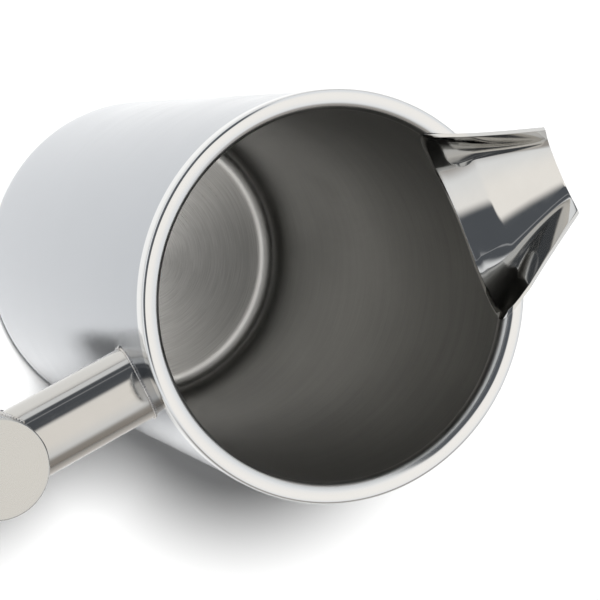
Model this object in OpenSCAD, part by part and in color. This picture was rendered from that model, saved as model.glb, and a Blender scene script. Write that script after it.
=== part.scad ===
// Double-walled stainless melting pot with a welded pouring spout and a tube handle.
// Z is up, the origin is the middle of the base, the spout points to +X and the handle to -X.

/* [Pot] */
// Outside diameter of the outer shell
pot_d = 110; // [90:0.5:130]
// Height from the table to the top of the rim
pot_h = 182; // [172:1:220]
// Width of the double wall, from the outside of the shell to the inside of the cup
wall_w = 5.1; // [5:0.1:7]
// Thickness of the sheet in both walls
wall_t = 1; // [0.8:0.1:1.3]
// Thickness of the sheet in both floors
floor_t = 1.2; // [1.2:0.1:1.6]
// Height of the cup's floor above the table
floor_z = 5.2; // [4:0.1:8]
// Inside radius of the cup's turn from floor to wall
cup_corner_r = 6.5; // [5:0.5:10]
// Outside radius of the shell's turn from base to wall
base_corner_r = 10; // [8:0.5:14]

/* [Rim] */
// How far the rim stands out from the shell
rim_overhang = 0.4; // [0.4:0.1:0.8]
// Height of the rim ring
rim_h = 4.6; // [4.2:0.1:6]
// Radius of the rim's inner edge
rim_inner_round = 3.6; // [2:0.1:3.8]
// Radius of the rim's outer edge
rim_outer_round = 1.4; // [0.8:0.1:1.6]

/* [Spout] */
// How far the upper corners of the lip stand out from the shell
spout_reach = 22; // [16:1:28]
// Half of the width between the upper edges at the lip
lip_half_w = 12.4; // [10:0.1:16]
// Half of the width between the upper edges at the rim
mouth_half_w = 25.9; // [22:0.1:28]
// Depth of the channel at the lip
lip_depth = 6.6; // [5:0.1:8]
// Depth of the notch that the spout fills in the wall
mouth_depth = 22; // [19:0.1:28]
// Thickness of the spout's sheet
sheet_t = 1; // [0.8:0.1:1.5]

/* [Handle] */
// Outside diameter of the arm
arm_d = 21; // [18:0.5:23]
// Height of the arm's axis
arm_z = 155.2; // [134:0.2:155.2]
// Distance from the pot's axis to the grip's axis
grip_x = 98.6; // [92:0.1:110]
// Outside diameter of the grip
grip_d = 26.8; // [24.5:0.1:32]
// Height of the flat top of the grip
grip_top_z = 166; // [166:0.1:172]
// Length of the grip over both caps
grip_l = 118; // [90:1:130]
// Wall of the two tubes
tube_t = 1.2; // [1:0.1:2]

/* [Hidden] */
$fn = 96;

shell_r = pot_d / 2;
cup_r = shell_r - wall_w;
rim_r = shell_r + rim_overhang;
rim_low = pot_h - rim_h;

// The spout's sections lie in planes that lean outwards towards the bottom of the channel.
// Their heights are measured from the top of the rim.
lean = 0.4;
mouth_x = cup_r - 7.9;
crest_x = cup_r + 2.1;
lip_x = shell_r + spout_reach;
edge_lift = 0.3;
lip_drop = 5.1;
lip_fold = [7.9, -9.8];
mouth_fold = [18.5, -13.8];
lip_bend = 2;

// Near the mouth the channel opens out and its folds fade into a round trough.
edge_flare = 1.2;
fold_flare = [6, 3];
bend_flare = 8;

spout_steps = 16;
arc_steps = 8;
bend_steps = 6;
overrun = 8;
mouth_u = -0.3;

weld_leg = 0.8;
cap_t = 2;
cap_edge = 0.6;
plug_l = 5;
slip = 0.02;

// Value between a (at the mouth) and b (at the lip)
function along(a, b, u) = a + (b - a) * u;

// How much of the flare is left at station u
function opened(u) = pow(1 - max(u, 0), 3);

// Height of the spout's upper edge, at distance x from the pot's axis
function edge_z(x) = edge_lift
    - max(0, (x - crest_x) / (lip_x - crest_x)) * (edge_lift + lip_drop);

// Half of one section of the channel, grown outwards by g, from the upper edge to the middle
function half_section(u, g) =
    let (x = along(mouth_x, lip_x, u),
         top = [along(mouth_half_w, lip_half_w, u) + edge_flare * opened(u) + 1.05 * g, edge_z(x)],
         fold = along(mouth_fold, lip_fold, u) + fold_flare * opened(u) + [0.8, -0.7] * g,
         low = edge_z(x) - along(mouth_depth, lip_depth, u) - g,
         bend = lip_bend + bend_flare * opened(u),
         side = (top - fold) / norm(top - fold),
         flat_y = fold[0] - bend,
         a = fold + side * bend,
         c = [flat_y, low + (fold[1] - low) * pow(flat_y / fold[0], 2)])
    concat([top],
           [for (i = [0:bend_steps]) let (t = i / bend_steps)
               a * (1 - t) * (1 - t) + fold * 2 * t * (1 - t) + c * t * t],
           [for (i = [1:arc_steps]) let (y = flat_y * (1 - i / arc_steps))
               [y, low + (fold[1] - low) * pow(y / fold[0], 2)]]);

// One closed ring of the loft; lift raises the straight closing line above the upper edges
function ring(u, g, lift) =
    let (x = along(mouth_x, lip_x, u),
         h = half_section(u, g),
         n = len(h),
         raised = lift > 0 ? [h[0] + [0, lift]] : [],
         right = concat(raised, h),
         left = [for (i = [n - 2:-1:0]) [-h[i][0], h[i][1]]],
         all = concat(right, left, [for (p = raised) [-p[0], p[1]]]))
    [for (p = all) [x + lean * (edge_z(x) - p[1]), p[0], pot_h + p[1]]];

// Solid loft through the sections from station u0 to station u1
module channel(g, lift, u0, u1) {
    rings = [for (i = [0:spout_steps]) ring(u0 + (u1 - u0) * i / spout_steps, g, lift)];
    n = len(rings[0]);
    points = [for (r = rings) for (p = r) p];
    skin = [for (i = [0:spout_steps - 1]) for (j = [0:n - 1])
        let (a = i * n + j, b = i * n + (j + 1) % n, c = a + n, d = b + n)
        each [[a, b, c], [b, d, c]]];
    middle = (n - 1) / 2;
    first = concat([for (j = [0:middle - 2]) each [[j, n - 1 - j, j + 1], [j + 1, n - 1 - j, n - 2 - j]]],
                   [[middle - 1, middle + 1, middle]]);
    last = [for (f = first) [f[2], f[1], f[0]] + spout_steps * n * [1, 1, 1]];
    polyhedron(points, concat(skin, first, last), convexity = 8);
}

// Everything that the spout replaces in the walls and the rim
module spout_notch() {
    channel(sheet_t, overrun, mouth_u, 1);
}

// The open space of the cup, up to lift above the rounded inner edge of the rim
module cup_space(lift) {
    rotate_extrude() difference() {
        square([cup_r + rim_inner_round, 2 * pot_h]);
        translate([cup_r, 0]) square([2 * rim_inner_round, pot_h - rim_inner_round]);
        translate([cup_r + rim_inner_round, pot_h - rim_inner_round]) circle(rim_inner_round + lift);
    }
}

// Section of a sheet cup with outside radius r, from height low to the underside of the rim
module cup_section(r, corner, low) {
    translate([0, low]) square([r - corner, floor_t]);
    intersection() {
        translate([r - corner, low + corner]) difference() {
            circle(corner);
            translate([0, floor_t - wall_t]) circle(corner - wall_t);
        }
        translate([r - corner, low]) square(corner);
    }
    translate([r - wall_t, low + corner]) square([wall_t, rim_low - low - corner]);
}

module along_arm() {
    translate([0, 0, arm_z]) rotate([0, -90, 0]) children();
}

module at_grip() {
    translate([-grip_x, 0, 0]) children();
}

// Outer cup that the pot stands on, notched for the spout
module outer_shell() {
    color("#c9cdd0") difference() {
        rotate_extrude() cup_section(shell_r, base_corner_r, 0);
        spout_notch();
    }
}

// Inner cup that holds the wax; it hangs from the rim and touches the shell nowhere else
module inner_cup() {
    color("#8f8e8a") difference() {
        rotate_extrude() cup_section(cup_r + wall_t, cup_corner_r + wall_t, floor_z - floor_t);
        spout_notch();
    }
}

// Ring that joins the two cups, with a wide rounding inside and a small one outside
module rim_ring() {
    color("#e4e6e8") difference() {
        rotate_extrude() difference() {
            translate([cup_r, rim_low]) square([rim_r - cup_r, rim_h]);
            translate([cup_r, pot_h - rim_inner_round]) difference() {
                square(rim_inner_round);
                translate([rim_inner_round, 0]) circle(rim_inner_round);
            }
            translate([rim_r - rim_outer_round, pot_h - rim_outer_round]) difference() {
                square(rim_outer_round);
                circle(rim_outer_round);
            }
        }
        spout_notch();
    }
}

// Tapered channel of bent sheet, trimmed flush with the inside of the cup and the rim
module spout() {
    color("#d6d4cc") difference() {
        channel(sheet_t, 0, mouth_u, 1);
        channel(0, overrun, mouth_u - 0.05, 1.1);
        cup_space(edge_lift);
    }
}

// Fillet weld under the spout, where its sheet meets the outside of the shell
module spout_weld() {
    color("#b4b6b8") difference() {
        intersection() {
            channel(sheet_t + weld_leg, 0, 0, 1);
            difference() {
                cylinder(r = shell_r + weld_leg, h = rim_low - weld_leg);
                cylinder(r = shell_r, h = pot_h);
            }
        }
        spout_notch();
    }
}

// Straight tube from the shell to the grip, cut to fit round both
module handle_arm() {
    color("#8d8f90") difference() {
        along_arm() difference() {
            cylinder(d = arm_d, h = grip_x);
            cylinder(d = arm_d - 2 * tube_t, h = grip_x);
        }
        cylinder(r = shell_r, h = pot_h);
        at_grip() cylinder(d = grip_d, h = pot_h);
    }
}

// Fillet weld round the arm at the shell
module arm_weld() {
    color("#b4b6b8") difference() {
        intersection() {
            along_arm() cylinder(d = arm_d + 2 * weld_leg, h = grip_x);
            cylinder(r = shell_r + weld_leg, h = pot_h);
        }
        cylinder(r = shell_r, h = pot_h);
        along_arm() cylinder(d = arm_d, h = grip_x);
    }
}

// Larger tube that the hand closes round, parallel to the pot
module grip_tube() {
    bore = grip_d - 2 * tube_t;
    color("#a9abac") at_grip() translate([0, 0, grip_top_z - grip_l + cap_t]) difference() {
        cylinder(d = grip_d, h = grip_l - 2 * cap_t);
        cylinder(d = bore, h = grip_l);
    }
}

// Fillet weld round the arm at the grip
module grip_weld() {
    color("#b4b6b8") difference() {
        intersection() {
            along_arm() cylinder(d = arm_d + 2 * weld_leg, h = grip_x);
            at_grip() cylinder(d = grip_d + 2 * weld_leg, h = grip_top_z - cap_t);
        }
        at_grip() cylinder(d = grip_d, h = pot_h);
        along_arm() cylinder(d = arm_d, h = grip_x);
    }
}

// Disc with a rounded edge and a short plug that sits inside the grip tube
module grip_cap() {
    r = grip_d / 2;
    plug_r = r - tube_t - slip;
    rotate_extrude() {
        difference() {
            square([r, cap_t]);
            translate([r - cap_edge, cap_t - cap_edge]) difference() {
                square(cap_edge);
                circle(cap_edge);
            }
        }
        translate([0, -plug_l]) square([plug_r, plug_l]);
    }
}

module grip_top_cap() {
    color("#cfcec9") at_grip() translate([0, 0, grip_top_z - cap_t]) grip_cap();
}

module grip_bottom_cap() {
    color("#cfcec9") at_grip() translate([0, 0, grip_top_z - grip_l + cap_t])
        rotate([180, 0, 0]) grip_cap();
}

outer_shell();
inner_cup();
rim_ring();
spout();
spout_weld();
handle_arm();
arm_weld();
grip_tube();
grip_weld();
grip_top_cap();
grip_bottom_cap();
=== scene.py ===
import math

import bmesh
import bpy
from mathutils import Matrix, Vector


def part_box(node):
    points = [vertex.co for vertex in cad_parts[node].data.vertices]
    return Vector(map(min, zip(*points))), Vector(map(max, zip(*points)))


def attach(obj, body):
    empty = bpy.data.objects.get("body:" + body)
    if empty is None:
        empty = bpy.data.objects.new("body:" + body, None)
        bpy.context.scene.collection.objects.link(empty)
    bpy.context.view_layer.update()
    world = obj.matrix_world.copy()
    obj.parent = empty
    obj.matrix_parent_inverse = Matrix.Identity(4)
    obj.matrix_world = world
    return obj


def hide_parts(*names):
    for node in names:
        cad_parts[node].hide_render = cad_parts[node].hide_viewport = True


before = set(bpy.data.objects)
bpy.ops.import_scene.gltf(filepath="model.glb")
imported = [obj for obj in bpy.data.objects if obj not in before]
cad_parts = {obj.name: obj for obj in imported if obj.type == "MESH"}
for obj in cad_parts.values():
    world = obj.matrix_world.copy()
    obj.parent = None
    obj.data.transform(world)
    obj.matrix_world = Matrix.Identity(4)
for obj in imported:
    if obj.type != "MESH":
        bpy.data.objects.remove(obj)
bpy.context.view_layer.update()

# ---------------------------------------------------------------- camera
# A long lens looks steeply down into the mouth from the handle's side.
# It is rolled so that the spout points to the upper right.
lens_mm = 111.0
look_from = Vector((-0.1572, 0.1229, 0.6305))
look_along = Vector((0.301, -0.242, -0.922)).normalized()
upwards = Vector((0.461, 0.883, -0.081))

camera_data = bpy.data.cameras.new("camera")
camera_data.lens = lens_mm
camera_data.sensor_width = 36.0
camera_data.clip_start = 0.01
camera = bpy.data.objects.new("camera", camera_data)
bpy.context.scene.collection.objects.link(camera)
rightwards = look_along.cross(upwards).normalized()
upwards = rightwards.cross(look_along)
turn = Matrix((rightwards, upwards, -look_along)).transposed().to_4x4()
camera.matrix_world = Matrix.Translation(look_from) @ turn
bpy.context.scene.camera = camera

# ---------------------------------------------------------------- floor
# A plain sheet of white studio paper under the pot.
floor_half = 1.6
floor_mesh = bpy.data.meshes.new("floor")
floor_corners = [(-floor_half, -floor_half, 0), (floor_half, -floor_half, 0),
                 (floor_half, floor_half, 0), (-floor_half, floor_half, 0)]
floor_mesh.from_pydata(floor_corners, [], [(0, 1, 2, 3)])
floor = bpy.data.objects.new("floor", floor_mesh)
bpy.context.scene.collection.objects.link(floor)
paper = bpy.data.materials.new("studio_paper")
paper.use_nodes = True
paper_shader = paper.node_tree.nodes["Principled BSDF"]
paper_shader.inputs["Base Color"].default_value = (0.88, 0.88, 0.875, 1)
paper_shader.inputs["Roughness"].default_value = 0.9
paper_shader.inputs["Specular IOR Level"].default_value = 0.1
floor_mesh.materials.append(paper)

# ---------------------------------------------------------------- studio light
# A white light tent. Polished steel shows the tent's dark opening, which lies on
# the +Y side, and a dim, warm strip low down on the -Y side.
bpy.context.scene.view_settings.view_transform = "Standard"
world = bpy.data.worlds.new("studio")
bpy.context.scene.world = world
world.use_nodes = True
tent = world.node_tree
tent.nodes.clear()


def tent_maths(operation, a, b=0.0):
    node = tent.nodes.new("ShaderNodeMath")
    node.operation = operation
    for value, socket in zip((a, b), node.inputs):
        if isinstance(value, (int, float)):
            socket.default_value = value
        else:
            tent.links.new(value, socket)
    return node.outputs[0]


def tent_step(value, low, high):
    """0 below low and 1 above high, with a smooth change between; both may be sockets."""
    node = tent.nodes.new("ShaderNodeMapRange")
    node.interpolation_type = "SMOOTHSTEP"
    for number, socket in ((value, "Value"), (low, "From Min"), (high, "From Max")):
        if isinstance(number, (int, float)):
            node.inputs[socket].default_value = number
        else:
            tent.links.new(number, node.inputs[socket])
    return node.outputs["Result"]


def tent_fade(value, low, high):
    """1 below low and 0 above high."""
    return tent_maths("SUBTRACT", 1.0, tent_step(value, low, high))


def tent_mix(factor, a, b):
    node = tent.nodes.new("ShaderNodeMix")
    node.data_type = "RGBA"
    tent.links.new(factor, node.inputs[0])
    for value, socket in ((a, node.inputs[6]), (b, node.inputs[7])):
        if isinstance(value, tuple):
            socket.default_value = (*value, 1)
        else:
            tent.links.new(value, socket)
    return node.outputs[2]


def tent_bearing(centre):
    """Degrees round the pot from the bearing centre, which is itself in degrees from +X."""
    c, s = math.cos(math.radians(centre)), math.sin(math.radians(centre))
    ahead = tent_maths("ADD", tent_maths("MULTIPLY", tent_x, c), tent_maths("MULTIPLY", tent_y, s))
    aside = tent_maths("ADD", tent_maths("MULTIPLY", tent_x, -s), tent_maths("MULTIPLY", tent_y, c))
    return tent_maths("DEGREES", tent_maths("ARCTAN2", aside, ahead))


split = tent.nodes.new("ShaderNodeSeparateXYZ")
tent.links.new(tent.nodes.new("ShaderNodeTexCoord").outputs["Generated"], split.inputs[0])
tent_x, tent_y, tent_z = split.outputs
rise = tent_maths("DEGREES", tent_maths("ARCSINE", tent_z))

# white cloth, brightest overhead
cloth = tent_mix(tent_step(rise, 15.0, 75.0), (0.93, 0.955, 0.985), (1.12, 1.09, 1.05))

# The opening: about 65 to 190 degrees round, higher towards its far end, with soft
# edges and a thin light pole in it. All its measures are in degrees.
opening_centre, pole_above_edge = 125.0, 14.0
low_softness, high_softness = 3.0, 6.0
bearing = tent_bearing(opening_centre)
low_edge = tent_maths("ADD", 21.0, tent_maths("MULTIPLY", bearing, 0.24))
high_edge = tent_maths("ADD", 56.0, tent_maths("MULTIPLY", tent_step(bearing, -45.0, -12.0), 14.0))
above_low = tent_step(rise, tent_maths("SUBTRACT", low_edge, low_softness),
                      tent_maths("ADD", low_edge, low_softness))
below_high = tent_fade(rise, tent_maths("SUBTRACT", high_edge, high_softness),
                       tent_maths("ADD", high_edge, high_softness))
open_rise = tent_maths("MULTIPLY", above_low, below_high)
open_bearing = tent_maths("MULTIPLY", tent_step(bearing, -66.0, -52.0), tent_fade(bearing, 55.0, 85.0))
from_pole = tent_maths("SUBTRACT", rise, tent_maths("ADD", low_edge, pole_above_edge))
pole = tent_fade(tent_maths("ABSOLUTE", from_pole), 0.6, 2.4)
dim = tent_mix(pole, (0.10, 0.11, 0.125), (0.32, 0.33, 0.35))
tent_light = tent_mix(tent_maths("MULTIPLY", open_rise, open_bearing), cloth, dim)

# the dim strip on the -Y side
strip_centre, strip_depth = -105.0, 0.8
back_bearing = tent_maths("ABSOLUTE", tent_bearing(strip_centre))
strip = tent_maths("MULTIPLY", tent_fade(back_bearing, 35.0, 60.0), tent_fade(rise, 14.0, 34.0))
tent_light = tent_mix(tent_maths("MULTIPLY", strip, strip_depth), tent_light, (0.30, 0.265, 0.23))

background = tent.nodes.new("ShaderNodeBackground")
tent.links.new(tent_light, background.inputs["Color"])
# the tent gives the paper less light than it shows in the steel, so that the key's shadow is seen
shown_strength, withheld_from_paper = 1.2, 1.04
matt_ray = tent.nodes.new("ShaderNodeLightPath").outputs["Is Diffuse Ray"]
tent_strength = tent_maths("SUBTRACT", shown_strength,
                           tent_maths("MULTIPLY", matt_ray, withheld_from_paper))
tent.links.new(tent_strength, background.inputs["Strength"])
tent.links.new(background.outputs[0], tent.nodes.new("ShaderNodeOutputWorld").inputs["Surface"])

# The key light hangs high on the +Y side, so the soft shadow stays close to the pot.
key_data = bpy.data.lights.new("key", "AREA")
key_data.shape = "DISK"
key_data.size = 0.3
key_data.energy = 29
key = bpy.data.objects.new("key", key_data)
key.location = (-0.14, 0.40, 1.44)
key_aim = Vector((0, 0, 0.05))
key.rotation_euler = (key_aim - key.location).to_track_quat("-Z", "Y").to_euler()
key.visible_glossy = False
bpy.context.scene.collection.objects.link(key)

# ---------------------------------------------------------------- outer shell
# The outer cup that the pot stands on, drawn from stainless sheet and given a
# bright satin polish. It is cut away at +X where the spout passes through it.
MM = 0.001
shell_low, shell_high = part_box("outer_shell")
shell_r = -shell_low[0]
rim_low = shell_high[2]
pot_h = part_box("rim_ring")[1][2]
wall_t = 1.0 * MM
floor_t = 1.2 * MM
base_corner_r = 10.0 * MM

# The spout's sections: heights are measured from the top of the rim, and each
# section leans outwards towards the bottom of the channel.
cup_r = -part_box("inner_cup")[0][0] - wall_t
lean = 0.4
mouth_x = cup_r - 7.9 * MM
crest_x = cup_r + 2.1 * MM
lip_x = shell_r + 22.0 * MM
sheet_t = 1.0 * MM
edge_lift, lip_drop = 0.3 * MM, 5.1 * MM
mouth_half_w, lip_half_w, edge_flare = 25.9 * MM, 12.4 * MM, 1.2 * MM
mouth_depth, lip_depth = 22.0 * MM, 6.6 * MM
mouth_fold, lip_fold = Vector((18.5 * MM, -13.8 * MM)), Vector((7.9 * MM, -9.8 * MM))
fold_flare = Vector((6.0 * MM, 3.0 * MM))
lip_bend, bend_flare = 2.0 * MM, 8.0 * MM


def along(a, b, u):
    return a + (b - a) * u


def spout_point(u, t, grow):
    """A point of the spout's sheet: u from the mouth to the lip, t from -1 round the bottom to 1."""
    opened = (1 - max(u, 0.0)) ** 3
    x = along(mouth_x, lip_x, u)
    edge_z = edge_lift - max(0.0, (x - crest_x) / (lip_x - crest_x)) * (edge_lift + lip_drop)
    top = Vector((along(mouth_half_w, lip_half_w, u) + edge_flare * opened + 1.05 * grow, edge_z))
    fold = along(mouth_fold, lip_fold, u) + fold_flare * opened + Vector((0.8, -0.7)) * grow
    low = edge_z - along(mouth_depth, lip_depth, u) - grow
    bow = (fold.y - low) / fold.x ** 2
    bend = lip_bend + bend_flare * opened
    flat_y = fold.x - bend
    flat_end = Vector((flat_y, low + bow * flat_y ** 2))
    side_start = fold + (top - fold).normalized() * bend
    s = abs(t)
    if s < 0.5:
        y = flat_y * s / 0.5
        p = Vector((y, low + bow * y * y))
    elif s < 0.75:
        k = (s - 0.5) / 0.25
        p = flat_end * (1 - k) ** 2 + fold * 2 * k * (1 - k) + side_start * k * k
    else:
        p = along(side_start, top, (s - 0.75) / 0.25)
    return Vector((x + lean * (edge_z - p.y), math.copysign(p.x, t), pot_h + p.y))


def halve(is_low, low, high):
    """The value between low and high at which is_low stops being true."""
    for _ in range(32):
        middle = (low + high) / 2
        if is_low(middle):
            low = middle
        else:
            high = middle
    return high


def spout_meets(t, grow, radius_at):
    """The point where line t of the sheet passes the radius that radius_at gives for its height."""
    def inside(u):
        p = spout_point(u, t, grow)
        return math.hypot(p.x, p.y) < radius_at(p.z)
    return halve(inside, -0.3, 0.95)


def wall_columns(radius, plain):
    """Bearing and top height of each upright line of a wall, first round the notch, then the rest."""
    columns = []
    for step in range(-30, 31):
        t = math.sin(math.radians(3 * step))
        p = spout_point(spout_meets(t, sheet_t, lambda z: radius), t, sheet_t)
        columns.append((math.atan2(p.y, p.x), min(p.z, rim_low)))
    last = columns[-1][0]
    gap = 2 * math.pi - 2 * last
    columns.extend((last + gap * i / plain, rim_low) for i in range(1, plain))
    return columns


def merge_points(mesh):
    """Joins points that lie on each other and turns every face outwards."""
    bm = bmesh.new()
    bm.from_mesh(mesh)
    bmesh.ops.remove_doubles(bm, verts=bm.verts, dist=1e-7)
    bmesh.ops.recalc_face_normals(bm, faces=bm.faces)
    bm.to_mesh(mesh)
    bm.free()


def link_piece(name, verts, faces, material, sharp=35):
    """A smooth-shaded piece; edges that turn by more than sharp degrees stay crisp."""
    mesh = bpy.data.meshes.new(name)
    mesh.from_pydata([tuple(v) for v in verts], [], faces)
    mesh.materials.append(material)
    merge_points(mesh)
    mesh.shade_smooth()
    mesh.set_sharp_from_angle(angle=math.radians(sharp))
    piece = bpy.data.objects.new(name, mesh)
    bpy.context.scene.collection.objects.link(piece)
    return piece


def grid_faces(rows, columns, wrap, start=0):
    """Quads between neighbouring rows of points that follow each other in the list."""
    faces = []
    for i in range(rows - 1):
        for j in range(columns if wrap else columns - 1):
            k = (j + 1) % columns
            a, b = start + i * columns, start + (i + 1) * columns
            faces.append((a + j, a + k, b + k, b + j))
    return faces


def sheet_cup(name, radius, corner, low, material):
    """A cup of sheet steel: floor, turned corner and a wall that stops at the notch and the rim."""
    floor_rings, corner_rings, wall_rings = 12, 14, 30
    plain_columns = 216
    outer = wall_columns(radius, plain_columns)
    inner = wall_columns(radius - wall_t, plain_columns)
    count = len(outer)

    def face_rings(columns, face_r, turn_r, floor_z):
        """Rings of points from the middle of the floor to the top of the wall."""
        rings = []
        foot = floor_z + turn_r
        for step in range(1, floor_rings + 1):
            r = (face_r - turn_r) * step / floor_rings
            rings.append([(r * math.cos(a), r * math.sin(a), floor_z) for a, _ in columns])
        for step in range(1, corner_rings):
            bend = math.pi / 2 * step / corner_rings
            r = face_r - turn_r * (1 - math.sin(bend))
            z = foot - turn_r * math.cos(bend)
            rings.append([(r * math.cos(a), r * math.sin(a), z) for a, _ in columns])
        for step in range(wall_rings + 1):
            rings.append([(face_r * math.cos(a), face_r * math.sin(a),
                           along(foot, top, step / wall_rings)) for a, top in columns])
        return rings

    outer_rings = face_rings(outer, radius, corner, low)
    inner_rings = face_rings(inner, radius - wall_t, corner - wall_t, low + floor_t)
    rings = outer_rings + inner_rings[::-1]
    verts = [p for ring in rings for p in ring]
    faces = grid_faces(len(rings), count, True)
    for middle_z, row in ((low, 0), (low + floor_t, len(rings) - 1)):
        verts.append((0, 0, middle_z))
        for j in range(count):
            faces.append((len(verts) - 1, row * count + j, row * count + (j + 1) % count))
    return link_piece(name, verts, faces, material)


class Steel:
    """A metal material whose node tree is built up by short calls."""

    def __init__(self, name):
        self.material = bpy.data.materials.new(name)
        self.material.use_nodes = True
        self.tree = self.material.node_tree
        self.shader = self.tree.nodes["Principled BSDF"]
        self.shader.inputs["Metallic"].default_value = 1.0
        self.place = self.tree.nodes.new("ShaderNodeTexCoord").outputs["Object"]

    def put(self, value, socket):
        if isinstance(value, (int, float)):
            socket.default_value = value
        elif isinstance(value, tuple):
            socket.default_value = (*value, 1)
        else:
            self.tree.links.new(value, socket)

    def maths(self, operation, a, b=0.0):
        node = self.tree.nodes.new("ShaderNodeMath")
        node.operation = operation
        self.put(a, node.inputs[0])
        self.put(b, node.inputs[1])
        return node.outputs[0]

    def moved(self, offset):
        """Object coordinates counted from another point of the piece."""
        node = self.tree.nodes.new("ShaderNodeMapping")
        node.inputs["Location"].default_value = [-c for c in offset]
        self.tree.links.new(self.place, node.inputs["Vector"])
        self.place = node.outputs[0]

    def polar(self):
        """Distance from the Z axis, height, and the two parts of the bearing."""
        node = self.tree.nodes.new("ShaderNodeSeparateXYZ")
        self.tree.links.new(self.place, node.inputs[0])
        x, y, z = node.outputs
        squares = self.maths("ADD", self.maths("MULTIPLY", x, x), self.maths("MULTIPLY", y, y))
        radius = self.maths("MAXIMUM", self.maths("SQRT", squares), 0.0001)
        return radius, z, self.maths("DIVIDE", x, radius), self.maths("DIVIDE", y, radius)

    def vector(self, x, y, z):
        node = self.tree.nodes.new("ShaderNodeCombineXYZ")
        for value, socket in zip((x, y, z), node.inputs):
            self.put(value, socket)
        return node.outputs[0]

    def noise(self, vector, scale, detail=3.0, rough=0.55):
        node = self.tree.nodes.new("ShaderNodeTexNoise")
        self.tree.links.new(vector, node.inputs["Vector"])
        node.inputs["Scale"].default_value = scale
        node.inputs["Detail"].default_value = detail
        node.inputs["Roughness"].default_value = rough
        return node.outputs["Fac"]

    def ramp(self, value, low, high, to_low, to_high):
        node = self.tree.nodes.new("ShaderNodeMapRange")
        node.interpolation_type = "SMOOTHSTEP"
        for number, socket in zip((value, low, high, to_low, to_high),
                                  ("Value", "From Min", "From Max", "To Min", "To Max")):
            self.put(number, node.inputs[socket])
        return node.outputs["Result"]

    def tint(self, factor, low, high):
        node = self.tree.nodes.new("ShaderNodeMix")
        node.data_type = "RGBA"
        for value, socket in ((factor, 0), (low, 6), (high, 7)):
            self.put(value, node.inputs[socket])
        return node.outputs[2]

    def finish(self, colour, roughness, height, strength, distance):
        """Joins the finish to the shader; height is turned into bump of the given distance."""
        self.tree.links.new(colour, self.shader.inputs["Base Color"])
        self.tree.links.new(roughness, self.shader.inputs["Roughness"])
        node = self.tree.nodes.new("ShaderNodeBump")
        node.inputs["Strength"].default_value = strength
        node.inputs["Distance"].default_value = distance
        self.tree.links.new(height, node.inputs["Height"])
        self.tree.links.new(node.outputs[0], self.shader.inputs["Normal"])

    def brushed_round(self, amount):
        """Stretches highlights across brush lines that run round the Z axis."""
        node = self.tree.nodes.new("ShaderNodeTangent")
        node.direction_type = "RADIAL"
        node.axis = "Z"
        self.tree.links.new(node.outputs[0], self.shader.inputs["Tangent"])
        self.shader.inputs["Anisotropic"].default_value = amount


shell_steel = Steel("satin_shell")
radius, height, bearing_x, bearing_y = shell_steel.polar()
profile = shell_steel.maths("MULTIPLY", shell_steel.maths("ADD", radius, height), 900.0)
hairlines = shell_steel.noise(shell_steel.vector(bearing_x, bearing_y, profile), 1.6, 4.0)
clouds = shell_steel.noise(shell_steel.place, 26.0, 3.0)
shell_steel.finish(
    colour=shell_steel.tint(clouds, (0.305, 0.32, 0.345), (0.345, 0.362, 0.388)),
    roughness=shell_steel.maths("ADD", shell_steel.ramp(hairlines, 0.3, 0.7, 0.10, 0.16),
                                shell_steel.ramp(clouds, 0.35, 0.7, 0.0, 0.05)),
    height=hairlines, strength=0.05, distance=0.00002)
shell_steel.brushed_round(0.3)

outer_shell = sheet_cup("outer_shell_sheet", shell_r, base_corner_r, shell_low[2],
                        shell_steel.material)
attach(outer_shell, "root")
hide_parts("outer_shell")

# ---------------------------------------------------------------- inner cup
# The cup that holds the wax hangs inside the shell. It was turned on a lathe
# with an abrasive pad, so the brush lines run round and round on floor and wall.
cup_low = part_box("inner_cup")[0][2]
cup_corner_r = 6.5 * MM

cup_steel = Steel("brushed_cup")
radius, height, bearing_x, bearing_y = cup_steel.polar()
profile = cup_steel.maths("ADD", radius, height)
fine_lines = cup_steel.vector(bearing_x, bearing_y, cup_steel.maths("MULTIPLY", profile, 1500.0))
broad_lines = cup_steel.vector(bearing_x, bearing_y, cup_steel.maths("MULTIPLY", profile, 180.0))
fine = cup_steel.noise(fine_lines, 2.2, 5.0, 0.6)
broad = cup_steel.noise(broad_lines, 1.3, 3.0)
patches = cup_steel.noise(cup_steel.place, 18.0, 2.0)
strokes = cup_steel.maths("ADD", cup_steel.maths("MULTIPLY", fine, 0.65),
                          cup_steel.maths("MULTIPLY", broad, 0.35))
# The floor is tinted lighter than the wall, which makes up for the little light that gets there.
on_floor = cup_steel.ramp(height, cup_low + 2.5 * MM, cup_low + 7.0 * MM, 1.0, 0.0)
cup_steel.finish(
    colour=cup_steel.tint(
        cup_steel.ramp(strokes, 0.35, 0.65, 0.0, 1.0),
        cup_steel.tint(on_floor, (0.285, 0.283, 0.272), (0.78, 0.78, 0.77)),
        cup_steel.tint(on_floor, (0.365, 0.363, 0.35), (0.99, 0.99, 0.98))),
    roughness=cup_steel.maths("ADD", cup_steel.ramp(strokes, 0.3, 0.7, 0.30, 0.42),
                              cup_steel.maths("ADD", cup_steel.ramp(patches, 0.3, 0.7, 0.0, 0.08),
                                                cup_steel.maths("MULTIPLY", on_floor, -0.05))),
    height=strokes, strength=0.25, distance=0.00006)
cup_steel.brushed_round(0.6)

inner_cup = sheet_cup("inner_cup_sheet", cup_r + wall_t, cup_corner_r + wall_t, cup_low,
                      cup_steel.material)
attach(inner_cup, "root")
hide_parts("inner_cup")

# ---------------------------------------------------------------- rim ring
# The ring that joins both cups. It is polished bright on top, and towards the
# cup its wide rounding keeps the brush lines. It ends against the spout's sides.
rim_r = -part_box("rim_ring")[0][0]
inner_round, outer_round = 3.6 * MM, 1.4 * MM
chamfer = 0.3 * MM
ring_steps = 280


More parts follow.
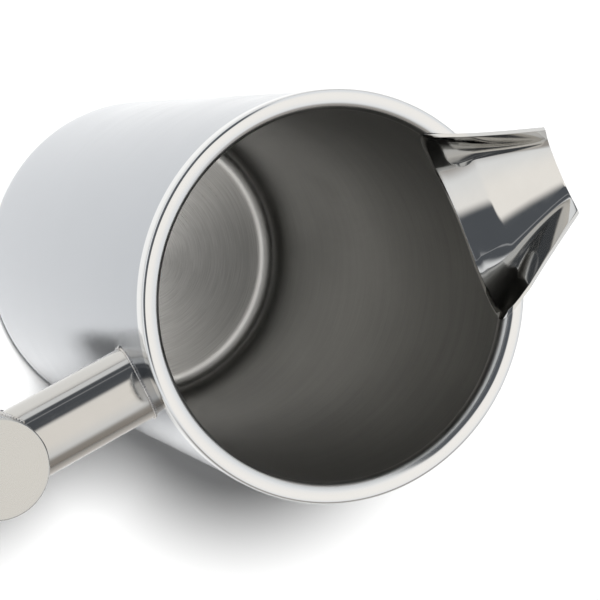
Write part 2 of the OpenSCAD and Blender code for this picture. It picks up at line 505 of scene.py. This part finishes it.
def rim_section():
    """Radius and height of the points round the ring's section."""
    points = [(cup_r, rim_low)]
    for step in range(15):
        a = math.pi - math.pi / 2 * step / 14
        points.append((cup_r + inner_round * (1 + math.cos(a)), pot_h - inner_round * (1 - math.sin(a))))
    for step in range(9):
        a = math.pi / 2 * (1 - step / 8)
        points.append((rim_r - outer_round * (1 - math.cos(a)), pot_h - outer_round * (1 - math.sin(a))))
    points.append((rim_r, rim_low + chamfer))
    points.append((rim_r - chamfer, rim_low))
    return points


def spout_side_bearing(radius, height):
    """Bearing at which a circle of this radius and height meets the outside of the spout's side."""
    def side_point(u):
        t = halve(lambda s: spout_point(u, s, sheet_t).z < height, 0.3, 1.0)
        return spout_point(u, t, sheet_t)

    def inside(u):
        p = side_point(u)
        return math.hypot(p.x, p.y) < radius
    p = side_point(halve(inside, -0.3, 0.9))
    return math.atan2(p.y, p.x)


section = rim_section()
ends = [spout_side_bearing(r, z) for r, z in section]
verts = []
for i in range(ring_steps + 1):
    for (r, z), end in zip(section, ends):
        a = along(end, 2 * math.pi - end, i / ring_steps)
        verts.append((r * math.cos(a), r * math.sin(a), z))
faces = grid_faces(ring_steps + 1, len(section), True)
faces.append(tuple(range(len(section))))
faces.append(tuple(ring_steps * len(section) + j for j in range(len(section))))

rim_steel = Steel("polished_rim")
radius, height, bearing_x, bearing_y = rim_steel.polar()
brushing = rim_steel.ramp(radius, cup_r + 0.3 * MM, cup_r + 2.2 * MM, 1.0, 0.0)
rim_lines = rim_steel.vector(bearing_x, bearing_y, rim_steel.maths("MULTIPLY", radius, 1500.0))
lines = rim_steel.noise(rim_lines, 2.0, 4.0)
clouds = rim_steel.noise(rim_steel.place, 70.0, 3.0)
rim_steel.finish(
    colour=rim_steel.tint(brushing, (0.63, 0.63, 0.625), (0.48, 0.475, 0.46)),
    roughness=rim_steel.maths("ADD", rim_steel.maths("MULTIPLY", brushing, 0.24),
                              rim_steel.ramp(clouds, 0.3, 0.7, 0.06, 0.13)),
    height=lines, strength=0.08, distance=0.00003)

rim_ring = link_piece("rim_ring_steel", verts, faces, rim_steel.material)
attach(rim_ring, "root")
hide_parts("rim_ring")

# ---------------------------------------------------------------- spout
# One piece of sheet, rolled to a trough at the mouth and folded sharper towards
# the lip. It passes through both walls, is ground flush inside and mirror polished.
spout_lines, spout_rows = 120, 60


def cup_radius_at(height):
    """Radius of the cup's inner face, with the ring's rounding raised by the edge's lift."""
    over = height - (pot_h - inner_round)
    reach = inner_round + edge_lift
    if over <= 0:
        return cup_r
    return cup_r + inner_round - math.sqrt(max(reach ** 2 - over ** 2, 0.0))


verts = []
for grow in (0.0, sheet_t):
    starts = [spout_meets(-1 + 2 * j / spout_lines, grow, cup_radius_at) for j in range(spout_lines + 1)]
    for i in range(spout_rows + 1):
        for j, start in enumerate(starts):
            verts.append(spout_point(along(start, 1.0, i / spout_rows), -1 + 2 * j / spout_lines, grow))
width, depth = spout_lines + 1, spout_rows + 1
faces = grid_faces(depth, width, False) + grid_faces(depth, width, False, width * depth)
border = [i * width for i in range(depth)]
border += [(depth - 1) * width + j for j in range(1, width)]
border += [i * width + width - 1 for i in range(depth - 2, -1, -1)]
border += list(range(width - 2, 0, -1))
for a, b in zip(border, border[1:] + border[:1]):
    faces.append((a, b, width * depth + b, width * depth + a))


def ease_edges(piece, size, segments=3):
    """Rounds the piece's sharp edges and keeps its broad faces shaded as they were."""
    bevel = piece.modifiers.new("edges", "BEVEL")
    bevel.width = size
    bevel.segments = segments
    bevel.limit_method = "ANGLE"
    bevel.angle_limit = math.radians(50)
    shading = piece.modifiers.new("shading", "WEIGHTED_NORMAL")
    shading.weight = 80
    graph = bpy.context.evaluated_depsgraph_get()
    eased = bpy.data.meshes.new_from_object(piece.evaluated_get(graph), depsgraph=graph)
    piece.modifiers.clear()
    piece.data = eased


spout_steel = Steel("mirror_spout")
ripples = spout_steel.noise(spout_steel.place, 55.0, 1.5)
clouds = spout_steel.noise(spout_steel.place, 130.0, 4.0)
spout_steel.finish(
    colour=spout_steel.tint(clouds, (0.54, 0.533, 0.515), (0.585, 0.578, 0.56)),
    roughness=spout_steel.ramp(clouds, 0.3, 0.7, 0.04, 0.10),
    height=ripples, strength=0.12, distance=0.0004)

spout = link_piece("spout_sheet", verts, faces, spout_steel.material, sharp=50)
ease_edges(spout, 0.25 * MM)
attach(spout, "root")
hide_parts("spout")

# ---------------------------------------------------------------- spout weld
# A fine weld bead follows the line where the spout leaves the shell. Its
# ripples are the places where each drop of filler set.
rings_per_ripple = 6.0
ripple_depth = 0.05


def weld_tree():
    """Sweeps a round bead with ripples along the edges of the piece's own mesh."""
    tree = bpy.data.node_groups.new("weld_bead", "GeometryNodeTree")
    tree.interface.new_socket("Geometry", in_out="INPUT", socket_type="NodeSocketGeometry")
    for name in ("Bead radius", "Ripple pitch", "Ripple depth"):
        tree.interface.new_socket(name, in_out="INPUT", socket_type="NodeSocketFloat")
    tree.interface.new_socket("Material", in_out="INPUT", socket_type="NodeSocketMaterial")
    tree.interface.new_socket("Geometry", in_out="OUTPUT", socket_type="NodeSocketGeometry")
    nodes, links = tree.nodes, tree.links
    given, result = nodes.new("NodeGroupInput"), nodes.new("NodeGroupOutput")
    path = nodes.new("GeometryNodeMeshToCurve")
    evenly = nodes.new("GeometryNodeResampleCurve")
    evenly.mode = "LENGTH"
    spacing = nodes.new("ShaderNodeMath")
    spacing.operation = "DIVIDE"
    spacing.inputs[1].default_value = rings_per_ripple
    travelled = nodes.new("GeometryNodeSplineParameter")
    phase = nodes.new("ShaderNodeMath")
    phase.operation = "DIVIDE"
    turns = nodes.new("ShaderNodeMath")
    turns.operation = "MULTIPLY"
    turns.inputs[1].default_value = 2 * math.pi
    wave = nodes.new("ShaderNodeMath")
    wave.operation = "SINE"
    swell = nodes.new("ShaderNodeMath")
    swell.operation = "MULTIPLY_ADD"
    swell.inputs[2].default_value = 1.0
    profile_circle = nodes.new("GeometryNodeCurvePrimitiveCircle")
    profile_circle.inputs["Resolution"].default_value = 10
    sweep = nodes.new("GeometryNodeCurveToMesh")
    sweep.inputs["Fill Caps"].default_value = True
    smooth = nodes.new("GeometryNodeSetShadeSmooth")
    real = nodes.new("GeometryNodeRealizeInstances")
    coat = nodes.new("GeometryNodeSetMaterial")
    links.new(given.outputs["Geometry"], path.inputs["Mesh"])
    links.new(path.outputs["Curve"], evenly.inputs["Curve"])
    links.new(given.outputs["Ripple pitch"], spacing.inputs[0])
    links.new(spacing.outputs[0], evenly.inputs["Length"])
    links.new(travelled.outputs["Length"], phase.inputs[0])
    links.new(given.outputs["Ripple pitch"], phase.inputs[1])
    links.new(phase.outputs[0], turns.inputs[0])
    links.new(turns.outputs[0], wave.inputs[0])
    links.new(wave.outputs[0], swell.inputs[0])
    links.new(given.outputs["Ripple depth"], swell.inputs[1])
    links.new(given.outputs["Bead radius"], profile_circle.inputs["Radius"])
    links.new(evenly.outputs["Curve"], sweep.inputs["Curve"])
    links.new(profile_circle.outputs["Curve"], sweep.inputs["Profile Curve"])
    links.new(swell.outputs[0], sweep.inputs["Scale"])
    links.new(sweep.outputs["Mesh"], smooth.inputs["Geometry"])
    links.new(smooth.outputs["Geometry"], real.inputs["Geometry"])
    links.new(real.outputs["Geometry"], coat.inputs["Geometry"])
    links.new(given.outputs["Material"], coat.inputs["Material"])
    links.new(coat.outputs["Geometry"], result.inputs["Geometry"])
    return tree


bead_tree = weld_tree()


def weld_along(name, points, closed, bead_radius, pitch, material):
    """A weld bead through the given points, as a plain mesh."""
    edges = [(i, i + 1) for i in range(len(points) - 1)]
    if closed:
        edges.append((len(points) - 1, 0))
    mesh = bpy.data.meshes.new(name)
    mesh.from_pydata([tuple(p) for p in points], edges, [])
    piece = bpy.data.objects.new(name, mesh)
    bpy.context.scene.collection.objects.link(piece)
    modifier = piece.modifiers.new("bead", "NODES")
    modifier.node_group = bead_tree
    wanted = {"Bead radius": bead_radius, "Ripple pitch": pitch,
              "Ripple depth": ripple_depth, "Material": material}
    for item in bead_tree.interface.items_tree:
        if item.in_out == "INPUT" and item.name in wanted:
            modifier[item.identifier] = wanted[item.name]
    graph = bpy.context.evaluated_depsgraph_get()
    swept = bpy.data.meshes.new_from_object(piece.evaluated_get(graph), depsgraph=graph)
    piece.modifiers.clear()
    piece.data = swept
    merge_points(swept)
    return piece


weld_steel = Steel("weld_steel")
speckle = weld_steel.noise(weld_steel.place, 900.0, 4.0, 0.6)
heat = weld_steel.noise(weld_steel.place, 160.0, 2.0)
weld_steel.finish(
    colour=weld_steel.tint(weld_steel.ramp(heat, 0.4, 0.65, 0.0, 1.0),
                           (0.50, 0.49, 0.48), (0.42, 0.39, 0.35)),
    roughness=weld_steel.ramp(speckle, 0.3, 0.7, 0.16, 0.34),
    height=speckle, strength=0.35, distance=0.00006)

spout_bead_r = 0.7 * MM
seam = []
for step in range(-40, 41):
    t = step / 40 * 0.97
    p = spout_point(spout_meets(t, sheet_t, lambda z: shell_r), t, sheet_t)
    if p.z < rim_low - spout_bead_r:
        seam.append(p)
spout_weld = weld_along("spout_weld_bead", seam, False, spout_bead_r, 1.0 * MM, weld_steel.material)
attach(spout_weld, "root")
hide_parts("spout_weld")

# ---------------------------------------------------------------- handle arm
# A straight piece of polished tube. Each end is cut to a saddle, one to fit the
# round shell and the other to fit round the grip. Its -Y side has a painted reflection
# of the floor's shadow: a browner, darker tint.
arm_box, grip_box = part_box("handle_arm"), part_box("grip_tube")
arm_r = (arm_box[1][1] - arm_box[0][1]) / 2
arm_z = (arm_box[0][2] + arm_box[1][2]) / 2
grip_r = (grip_box[1][1] - grip_box[0][1]) / 2
grip_x = (grip_box[0][0] + grip_box[1][0]) / 2
tube_t = 1.2 * MM
arm_sides, arm_rows = 128, 24


def saddle(radius, a, axis_x, wall_r, side):
    """Point of a tube's line at angle a, where it meets an upright cylinder round axis_x."""
    y = radius * math.cos(a)
    return Vector((axis_x + side * math.sqrt(wall_r ** 2 - y * y), y, arm_z + radius * math.sin(a)))


verts = []
for radius, order in ((arm_r, range(arm_rows + 1)), (arm_r - tube_t, range(arm_rows, -1, -1))):
    for i in order:
        for j in range(arm_sides):
            a = 2 * math.pi * j / arm_sides
            near, far = saddle(radius, a, 0, shell_r, -1), saddle(radius, a, grip_x, grip_r, 1)
            verts.append(near.lerp(far, i / arm_rows))
rows = 2 * (arm_rows + 1)
faces = grid_faces(rows, arm_sides, True)
for j in range(arm_sides):
    k = (j + 1) % arm_sides
    faces.append((j, k, (rows - 1) * arm_sides + k, (rows - 1) * arm_sides + j))

arm_steel = Steel("polished_arm")
node = arm_steel.tree.nodes.new("ShaderNodeSeparateXYZ")
arm_steel.tree.links.new(arm_steel.place, node.inputs[0])
x, y, z = node.outputs
drawn_lines = arm_steel.vector(arm_steel.maths("MULTIPLY", x, 40.0), arm_steel.maths("MULTIPLY", y, 1600.0),
                               arm_steel.maths("MULTIPLY", z, 1600.0))
drawn = arm_steel.noise(drawn_lines, 1.0, 4.0)
# painted reflection of the floor's shadow: the tube turns darker and browner towards its -Y side
painted_shadow_reflection = arm_steel.ramp(y, -0.95 * arm_r, -0.3 * arm_r, 1.0, 0.0)
smudges = arm_steel.noise(arm_steel.place, 90.0, 3.0)
# the brown colour mixed in below is that painted reflection of the floor's shadow
arm_steel.finish(
    colour=arm_steel.tint(painted_shadow_reflection, arm_steel.tint(smudges, (0.455, 0.445, 0.425), (0.50, 0.49, 0.468)),
                          (0.30, 0.272, 0.24)),
    roughness=arm_steel.maths("ADD", arm_steel.ramp(drawn, 0.3, 0.7, 0.06, 0.12),
                              arm_steel.ramp(smudges, 0.45, 0.75, 0.0, 0.10)),
    height=drawn, strength=0.05, distance=0.00003)
handle_arm = link_piece("handle_arm_tube", verts, faces, arm_steel.material)
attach(handle_arm, "root")
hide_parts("handle_arm")

# ---------------------------------------------------------------- arm weld
# The bead round the arm at the shell, with the small blob where it was closed.
arm_bead_r = 0.34 * MM
seam_points, seam_rise = 160, 0.1 * MM
seam = [saddle(arm_r + seam_rise, 2 * math.pi * j / seam_points, 0, shell_r + seam_rise, -1)
        for j in range(seam_points)]
arm_weld = weld_along("arm_weld_bead", seam, True, arm_bead_r, 0.8 * MM, weld_steel.material)
blob_at = saddle(arm_r + seam_rise, 0.0, 0, shell_r + seam_rise, -1)
bm = bmesh.new()
bm.from_mesh(arm_weld.data)
blob = bmesh.ops.create_icosphere(bm, subdivisions=3, radius=0.8 * MM)["verts"]
for v in blob:
    wobble = 1 + 0.10 * math.sin(3.1 * v.co.x / MM + 1) * math.cos(2.7 * v.co.z / MM)
    v.co = Vector((0.75 * v.co.x, v.co.y, 0.85 * v.co.z)) * wobble + blob_at
for face in bm.faces:
    face.smooth = True
bm.to_mesh(arm_weld.data)
bm.free()
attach(arm_weld, "root")
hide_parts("arm_weld")

# ---------------------------------------------------------------- grip tube
# The larger tube that the hand closes round, upright beside the pot. Its ends
# are cut square and lightly chamfered for the caps.
turned_sides = 128


def turned(name, section, axis_x, material, closed_ring=False):
    """A piece turned on a lathe: its section is (radius, height) points, outside first."""
    sides = turned_sides
    turns = [2 * math.pi * j / sides for j in range(sides)]
    verts = [(axis_x + r * math.cos(a), r * math.sin(a), z) for r, z in section for a in turns]
    faces = grid_faces(len(section), sides, True)
    last = (len(section) - 1) * sides
    if closed_ring:
        faces.extend((j, (j + 1) % sides, last + (j + 1) % sides, last + j) for j in range(sides))
    else:
        faces.append(tuple(range(sides)))
        faces.append(tuple(range(last, last + sides)))
    return link_piece(name, verts, faces, material)


grip_low, grip_high = grip_box[0][2], grip_box[1][2]
bore_r = grip_r - tube_t
section = [(bore_r, grip_low), (grip_r - chamfer, grip_low), (grip_r, grip_low + chamfer)]
side_rings = 20
section += [(grip_r, along(grip_low + chamfer, grip_high - chamfer, i / side_rings))
            for i in range(1, side_rings)]
section += [(grip_r, grip_high - chamfer), (grip_r - chamfer, grip_high), (bore_r, grip_high)]

grip_steel = Steel("polished_grip")
grip_steel.moved((grip_x, 0, 0))
radius, height, bearing_x, bearing_y = grip_steel.polar()
ring_lines = grip_steel.vector(bearing_x, bearing_y, grip_steel.maths("MULTIPLY", height, 1100.0))
rings = grip_steel.noise(ring_lines, 2.0, 4.0)
handled = grip_steel.noise(grip_steel.place, 60.0, 3.0)
grip_steel.finish(
    colour=grip_steel.tint(handled, (0.50, 0.495, 0.48), (0.56, 0.555, 0.54)),
    roughness=grip_steel.maths("ADD", grip_steel.ramp(rings, 0.3, 0.7, 0.08, 0.14),
                               grip_steel.ramp(handled, 0.4, 0.7, 0.0, 0.08)),
    height=rings, strength=0.06, distance=0.00003)
grip_tube = turned("grip_tube_steel", section, grip_x, grip_steel.material, closed_ring=True)
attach(grip_tube, "root")
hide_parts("grip_tube")

# ---------------------------------------------------------------- grip weld
# The bead round the arm where it meets the grip.
seam = []
for j in range(seam_points):
    p = saddle(arm_r + seam_rise, 2 * math.pi * j / seam_points, grip_x, grip_r + seam_rise, 1)
    if p.z < grip_high - 1.0 * MM:
        seam.append(p)
first = max(range(len(seam)), key=lambda i: (seam[i] - seam[i - 1]).length)
seam = seam[first:] + seam[:first]
grip_weld = weld_along("grip_weld_bead", seam, False, 0.55 * MM, 0.9 * MM, weld_steel.material)
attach(grip_weld, "root")
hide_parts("grip_weld")

# ---------------------------------------------------------------- grip caps
# Two turned discs close the grip. Each has a rounded edge, a fine satin face
# with lathe lines, and a short plug that is pressed into the tube.
cap_t, cap_edge, plug_l, slip = 2.0 * MM, 0.6 * MM, 5.0 * MM, 0.02 * MM

cap_steel = Steel("satin_cap")
cap_steel.moved((grip_x, 0, 0))
radius, height, bearing_x, bearing_y = cap_steel.polar()
cap_lines = cap_steel.vector(bearing_x, bearing_y, cap_steel.maths("MULTIPLY", radius, 1800.0))
turning = cap_steel.noise(cap_lines, 1.5, 4.0)
cap_steel.finish(
    colour=cap_steel.tint(turning, (0.455, 0.448, 0.426), (0.505, 0.498, 0.475)),
    roughness=cap_steel.ramp(turning, 0.3, 0.7, 0.18, 0.30),
    height=turning, strength=0.12, distance=0.00004)
cap_steel.brushed_round(0.4)

for node, seat, way in (("grip_top_cap", grip_high, 1), ("grip_bottom_cap", grip_low, -1)):
    plug_r = bore_r - slip
    section = [(plug_r - chamfer, seat - way * plug_l), (plug_r, seat - way * (plug_l - chamfer)),
               (plug_r, seat), (grip_r, seat)]
    for step in range(9):
        a = math.pi / 2 * step / 8
        section.append((grip_r - cap_edge * (1 - math.cos(a)),
                        seat + way * (cap_t - cap_edge * (1 - math.sin(a)))))
    section += [(grip_r * k / 6, seat + way * cap_t) for k in range(5, 0, -1)]
    cap = turned(node + "_disc", section, grip_x, cap_steel.material)
    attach(cap, "root")
    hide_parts(node)
